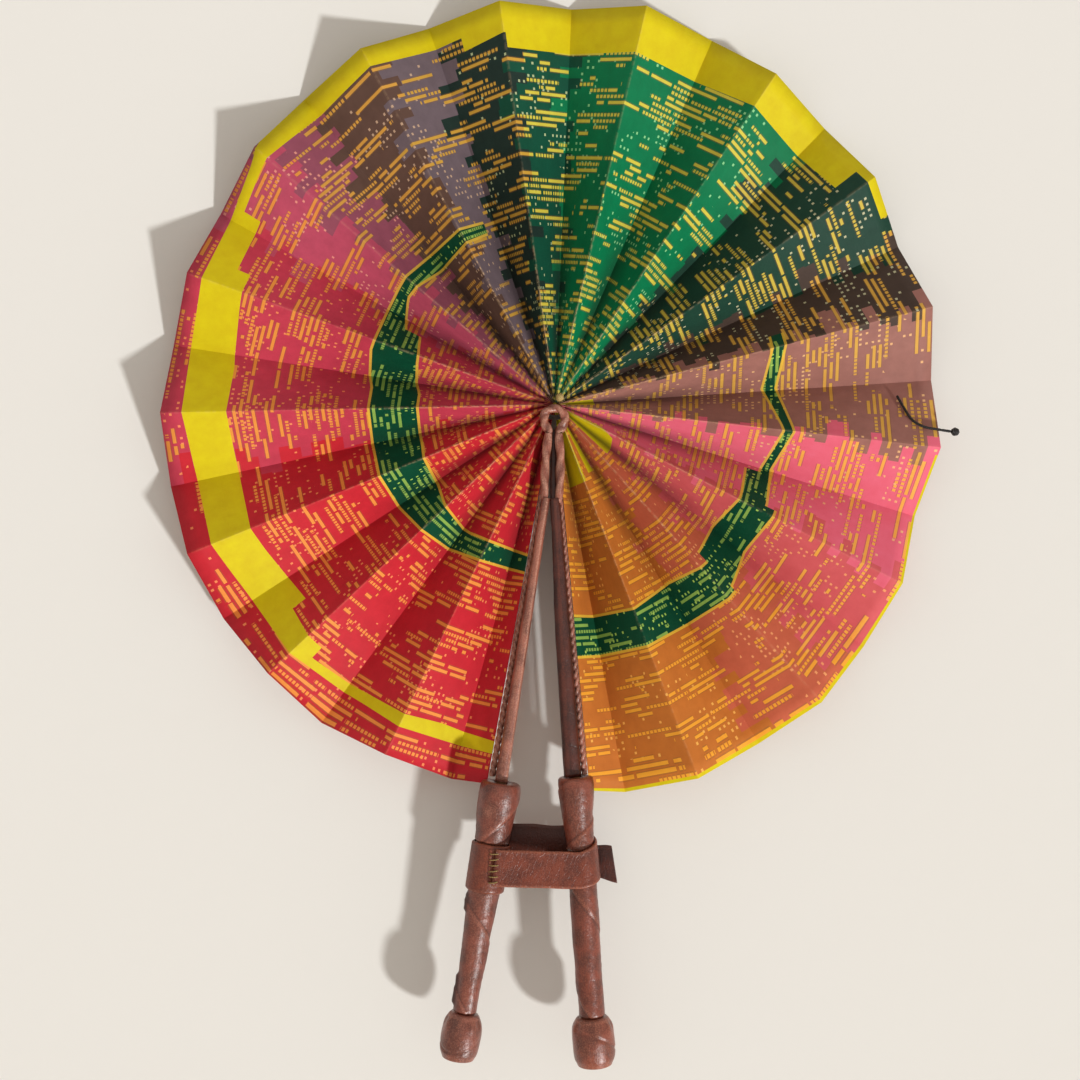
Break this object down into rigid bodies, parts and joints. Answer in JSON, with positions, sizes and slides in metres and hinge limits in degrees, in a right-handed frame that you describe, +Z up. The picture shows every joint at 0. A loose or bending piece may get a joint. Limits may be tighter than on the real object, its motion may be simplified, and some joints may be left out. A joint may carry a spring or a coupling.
{
  "type": "folding fan",
  "caption": "Round pleated hand fan of printed cloth, opened to a full disc between two leather-covered sticks with knobbed handles held together by a strap.",
  "frame": {"origin": "centre of the leather hanging eye between the tops of the two guard sticks", "axes": "+Z up towards the top of the open leaf, the handles hang down along -Z, the front of the leaf faces -Y, +X to the viewer's right"},
  "size_m": [0.4067, 0.0278, 0.5383],
  "materials": {
    "cloth_crimson": "waxed printed cotton",
    "cloth_rose": "waxed printed cotton",
    "cloth_aubergine": "waxed printed cotton",
    "cloth_green": "waxed printed cotton",
    "cloth_mauve": "waxed printed cotton",
    "cloth_pink": "waxed printed cotton",
    "cloth_rust": "waxed printed cotton",
    "leather_brown": "worn, slightly waxed",
    "leather_pale": "worn suede side",
    "leather_dark": "matte",
    "wood": "raw, hidden",
    "black_cord": "twisted thread"
  },
  "bodies": {
    "guard_left": {"guard_rod_left": "wood", "stick_cover_left": "leather_brown", "piping_left": "leather_pale", "collar_left": "leather_brown", "grip_left": "leather_brown", "knob_left": "leather_brown", "eye_arch": "leather_pale", "eye_leg_left": "leather_pale"},
    "leaf_01": {"panel_01": "cloth_crimson"},
    "leaf_02": {"panel_02": "cloth_crimson"},
    "leaf_03": {"panel_03": "cloth_crimson"},
    "leaf_04": {"panel_04": "cloth_crimson"},
    "leaf_05": {"panel_05": "cloth_crimson"},
    "leaf_06": {"panel_06": "cloth_crimson"},
    "leaf_07": {"panel_07": "cloth_crimson"},
    "leaf_08": {"panel_08": "cloth_rose"},
    "leaf_09": {"panel_09": "cloth_rose"},
    "leaf_10": {"panel_10": "cloth_rose"},
    "leaf_11": {"panel_11": "cloth_rose"},
    "leaf_12": {"panel_12": "cloth_rose"},
    "leaf_13": {"panel_13": "cloth_rose"},
    "leaf_14": {"panel_14": "cloth_aubergine"},
    "leaf_15": {"panel_15": "cloth_aubergine"},
    "leaf_16": {"panel_16": "cloth_aubergine"},
    "leaf_17": {"panel_17": "cloth_green"},
    "leaf_18": {"panel_18": "cloth_green"},
    "leaf_19": {"panel_19": "cloth_green"},
    "leaf_20": {"panel_20": "cloth_green"},
    "leaf_21": {"panel_21": "cloth_green"},
    "leaf_22": {"panel_22": "cloth_green"},
    "leaf_23": {"panel_23": "cloth_green"},
    "leaf_24": {"panel_24": "cloth_mauve"},
    "leaf_25": {"panel_25": "cloth_mauve"},
    "leaf_26": {"panel_26": "cloth_mauve", "tie_cord": "black_cord", "tie_knot": "black_cord"},
    "leaf_27": {"panel_27": "cloth_pink"},
    "leaf_28": {"panel_28": "cloth_pink"},
    "leaf_29": {"panel_29": "cloth_pink"},
    "leaf_30": {"panel_30": "cloth_rust"},
    "leaf_31": {"panel_31": "cloth_rust"},
    "leaf_32": {"panel_32": "cloth_rust"},
    "leaf_33": {"panel_33": "cloth_rust"},
    "leaf_34": {"panel_34": "cloth_rust"},
    "guard_right": {"guard_rod_right": "wood", "stick_cover_right": "leather_brown", "piping_right": "leather_pale", "collar_right": "leather_brown", "grip_right": "leather_brown", "knob_right": "leather_brown", "eye_leg_right": "leather_pale"},
    "strap": {"strap_sleeve": "leather_brown", "strap_loop": "leather_brown", "strap_tail": "leather_dark"}
  },
  "joints": [
    {"name": "hinge_left_guard", "type": "hinge", "parent": "guard_left", "child": "leaf_01", "pos_m": [0, 0, 0.0075], "axis": [-0.134, 0, -0.991], "range_deg": [0, 58.06]},
    {"name": "leaf_fold", "type": "hinge", "parent": "leaf_01", "child": "leaf_02", "pos_m": [0, 0, 0.0075], "axis": [0.2233, -0.0546, 0.9732], "range_deg": [0, 116.39], "deforming": ["strap_loop", "strap_tail", "eye_leg_left", "eye_leg_right"]},
    {"name": "crease_02", "type": "hinge", "parent": "leaf_02", "child": "leaf_03", "pos_m": [0, 0, 0.0075], "axis": [-0.396, -0.0546, -0.9166], "range_deg": [0, 116.39]},
    {"name": "crease_03", "type": "hinge", "parent": "leaf_03", "child": "leaf_04", "pos_m": [0, 0, 0.0075], "axis": [0.5556, -0.0546, 0.8297], "range_deg": [0, 116.39]},
    {"name": "crease_04", "type": "hinge", "parent": "leaf_04", "child": "leaf_05", "pos_m": [0, 0, 0.0075], "axis": [-0.6967, -0.0546, -0.7153], "range_deg": [0, 116.39]},
    {"name": "crease_05", "type": "hinge", "parent": "leaf_05", "child": "leaf_06", "pos_m": [0, 0, 0.0075], "axis": [0.8148, -0.0546, 0.5771], "range_deg": [0, 116.39]},
    {"name": "crease_06", "type": "hinge", "parent": "leaf_06", "child": "leaf_07", "pos_m": [0, 0, 0.0075], "axis": [-0.9059, -0.0546, -0.4199], "range_deg": [0, 116.39]},
    {"name": "crease_07", "type": "hinge", "parent": "leaf_07", "child": "leaf_08", "pos_m": [0, 0, 0.0075], "axis": [0.967, -0.0546, 0.2487], "range_deg": [0, 116.39]},
    {"name": "crease_08", "type": "hinge", "parent": "leaf_08", "child": "leaf_09", "pos_m": [0, 0, 0.0075], "axis": [-0.9961, -0.0546, -0.0693], "range_deg": [0, 116.39]},
    {"name": "crease_09", "type": "hinge", "parent": "leaf_09", "child": "leaf_10", "pos_m": [0, 0, 0.0075], "axis": [0.9922, -0.0546, -0.1124], "range_deg": [0, 116.39]},
    {"name": "crease_10", "type": "hinge", "parent": "leaf_10", "child": "leaf_11", "pos_m": [0, 0, 0.0075], "axis": [-0.9554, -0.0546, 0.2903], "range_deg": [0, 116.39]},
    {"name": "crease_11", "type": "hinge", "parent": "leaf_11", "child": "leaf_12", "pos_m": [0, 0, 0.0075], "axis": [0.8869, -0.0546, -0.4587], "range_deg": [0, 116.39]},
    {"name": "crease_12", "type": "hinge", "parent": "leaf_12", "child": "leaf_13", "pos_m": [0, 0, 0.0075], "axis": [-0.7891, -0.0546, 0.6118], "range_deg": [0, 116.39]},
    {"name": "crease_13", "type": "hinge", "parent": "leaf_13", "child": "leaf_14", "pos_m": [0, 0, 0.0075], "axis": [0.6651, -0.0546, -0.7447], "range_deg": [0, 116.39]},
    {"name": "crease_14", "type": "hinge", "parent": "leaf_14", "child": "leaf_15", "pos_m": [0, 0, 0.0075], "axis": [-0.5192, -0.0546, 0.8529], "range_deg": [0, 116.39]},
    {"name": "crease_15", "type": "hinge", "parent": "leaf_15", "child": "leaf_16", "pos_m": [0, 0, 0.0075], "axis": [0.356, -0.0546, -0.9329], "range_deg": [0, 116.39]},
    {"name": "crease_16", "type": "hinge", "parent": "leaf_16", "child": "leaf_17", "pos_m": [0, 0, 0.0075], "axis": [-0.181, -0.0546, 0.982], "range_deg": [0, 116.39]},
    {"name": "crease_17", "type": "hinge", "parent": "leaf_17", "child": "leaf_18", "pos_m": [0, 0, 0.0075], "axis": [0, -0.0546, -0.9985], "range_deg": [0, 116.39]},
    {"name": "crease_18", "type": "hinge", "parent": "leaf_18", "child": "leaf_19", "pos_m": [0, 0, 0.0075], "axis": [0.181, -0.0546, 0.982], "range_deg": [0, 116.39]},
    {"name": "crease_19", "type": "hinge", "parent": "leaf_19", "child": "leaf_20", "pos_m": [0, 0, 0.0075], "axis": [-0.356, -0.0546, -0.9329], "range_deg": [0, 116.39]},
    {"name": "crease_20", "type": "hinge", "parent": "leaf_20", "child": "leaf_21", "pos_m": [0, 0, 0.0075], "axis": [0.5192, -0.0546, 0.8529], "range_deg": [0, 116.39]},
    {"name": "crease_21", "type": "hinge", "parent": "leaf_21", "child": "leaf_22", "pos_m": [0, 0, 0.0075], "axis": [-0.6651, -0.0546, -0.7447], "range_deg": [0, 116.39]},
    {"name": "crease_22", "type": "hinge", "parent": "leaf_22", "child": "leaf_23", "pos_m": [0, 0, 0.0075], "axis": [0.7891, -0.0546, 0.6118], "range_deg": [0, 116.39]},
    {"name": "crease_23", "type": "hinge", "parent": "leaf_23", "child": "leaf_24", "pos_m": [0, 0, 0.0075], "axis": [-0.8869, -0.0546, -0.4587], "range_deg": [0, 116.39]},
    {"name": "crease_24", "type": "hinge", "parent": "leaf_24", "child": "leaf_25", "pos_m": [0, 0, 0.0075], "axis": [0.9554, -0.0546, 0.2903], "range_deg": [0, 116.39]},
    {"name": "crease_25", "type": "hinge", "parent": "leaf_25", "child": "leaf_26", "pos_m": [0, 0, 0.0075], "axis": [-0.9922, -0.0546, -0.1124], "range_deg": [0, 116.39], "deforming": ["tie_cord"]},
    {"name": "crease_26", "type": "hinge", "parent": "leaf_26", "child": "leaf_27", "pos_m": [0, 0, 0.0075], "axis": [0.9961, -0.0546, -0.0693], "range_deg": [0, 116.39]},
    {"name": "crease_27", "type": "hinge", "parent": "leaf_27", "child": "leaf_28", "pos_m": [0, 0, 0.0075], "axis": [-0.967, -0.0546, 0.2487], "range_deg": [0, 116.39]},
    {"name": "crease_28", "type": "hinge", "parent": "leaf_28", "child": "leaf_29", "pos_m": [0, 0, 0.0075], "axis": [0.9059, -0.0546, -0.4199], "range_deg": [0, 116.39]},
    {"name": "crease_29", "type": "hinge", "parent": "leaf_29", "child": "leaf_30", "pos_m": [0, 0, 0.0075], "axis": [-0.8148, -0.0546, 0.5771], "range_deg": [0, 116.39]},
    {"name": "crease_30", "type": "hinge", "parent": "leaf_30", "child": "leaf_31", "pos_m": [0, 0, 0.0075], "axis": [0.6967, -0.0546, -0.7153], "range_deg": [0, 116.39]},
    {"name": "crease_31", "type": "hinge", "parent": "leaf_31", "child": "leaf_32", "pos_m": [0, 0, 0.0075], "axis": [-0.5556, -0.0546, 0.8297], "range_deg": [0, 116.39]},
    {"name": "crease_32", "type": "hinge", "parent": "leaf_32", "child": "leaf_33", "pos_m": [0, 0, 0.0075], "axis": [0.396, -0.0546, -0.9166], "range_deg": [0, 116.39]},
    {"name": "crease_33", "type": "hinge", "parent": "leaf_33", "child": "leaf_34", "pos_m": [0, 0, 0.0075], "axis": [-0.2233, -0.0546, 0.9732], "range_deg": [0, 116.39]},
    {"name": "hinge_right_guard", "type": "hinge", "parent": "leaf_34", "child": "guard_right", "pos_m": [0, 0, 0.0075], "axis": [0.134, 0, -0.991], "range_deg": [0, 58.06]},
    {"name": "strap_slide", "type": "slide", "parent": "guard_left", "child": "strap", "axis": [-0.113, 0, -0.9936], "range_m": [0, 0.06], "deforming": ["strap_loop", "strap_tail"]}
  ],
  "couplings": [
    {"joint": "hinge_left_guard", "follows": "leaf_fold", "ratio": 0.49882},
    {"joint": "crease_02", "follows": "leaf_fold", "ratio": 1},
    {"joint": "crease_03", "follows": "leaf_fold", "ratio": 1},
    {"joint": "crease_04", "follows": "leaf_fold", "ratio": 1},
    {"joint": "crease_05", "follows": "leaf_fold", "ratio": 1},
    {"joint": "crease_06", "follows": "leaf_fold", "ratio": 1},
    {"joint": "crease_07", "follows": "leaf_fold", "ratio": 1},
    {"joint": "crease_08", "follows": "leaf_fold", "ratio": 1},
    {"joint": "crease_09", "follows": "leaf_fold", "ratio": 1},
    {"joint": "crease_10", "follows": "leaf_fold", "ratio": 1},
    {"joint": "crease_11", "follows": "leaf_fold", "ratio": 1},
    {"joint": "crease_12", "follows": "leaf_fold", "ratio": 1},
    {"joint": "crease_13", "follows": "leaf_fold", "ratio": 1},
    {"joint": "crease_14", "follows": "leaf_fold", "ratio": 1},
    {"joint": "crease_15", "follows": "leaf_fold", "ratio": 1},
    {"joint": "crease_16", "follows": "leaf_fold", "ratio": 1},
    {"joint": "crease_17", "follows": "leaf_fold", "ratio": 1},
    {"joint": "crease_18", "follows": "leaf_fold", "ratio": 1},
    {"joint": "crease_19", "follows": "leaf_fold", "ratio": 1},
    {"joint": "crease_20", "follows": "leaf_fold", "ratio": 1},
    {"joint": "crease_21", "follows": "leaf_fold", "ratio": 1},
    {"joint": "crease_22", "follows": "leaf_fold", "ratio": 1},
    {"joint": "crease_23", "follows": "leaf_fold", "ratio": 1},
    {"joint": "crease_24", "follows": "leaf_fold", "ratio": 1},
    {"joint": "crease_25", "follows": "leaf_fold", "ratio": 1},
    {"joint": "crease_26", "follows": "leaf_fold", "ratio": 1},
    {"joint": "crease_27", "follows": "leaf_fold", "ratio": 1},
    {"joint": "crease_28", "follows": "leaf_fold", "ratio": 1},
    {"joint": "crease_29", "follows": "leaf_fold", "ratio": 1},
    {"joint": "crease_30", "follows": "leaf_fold", "ratio": 1},
    {"joint": "crease_31", "follows": "leaf_fold", "ratio": 1},
    {"joint": "crease_32", "follows": "leaf_fold", "ratio": 1},
    {"joint": "crease_33", "follows": "leaf_fold", "ratio": 1},
    {"joint": "hinge_right_guard", "follows": "leaf_fold", "ratio": 0.49882}
  ]
}
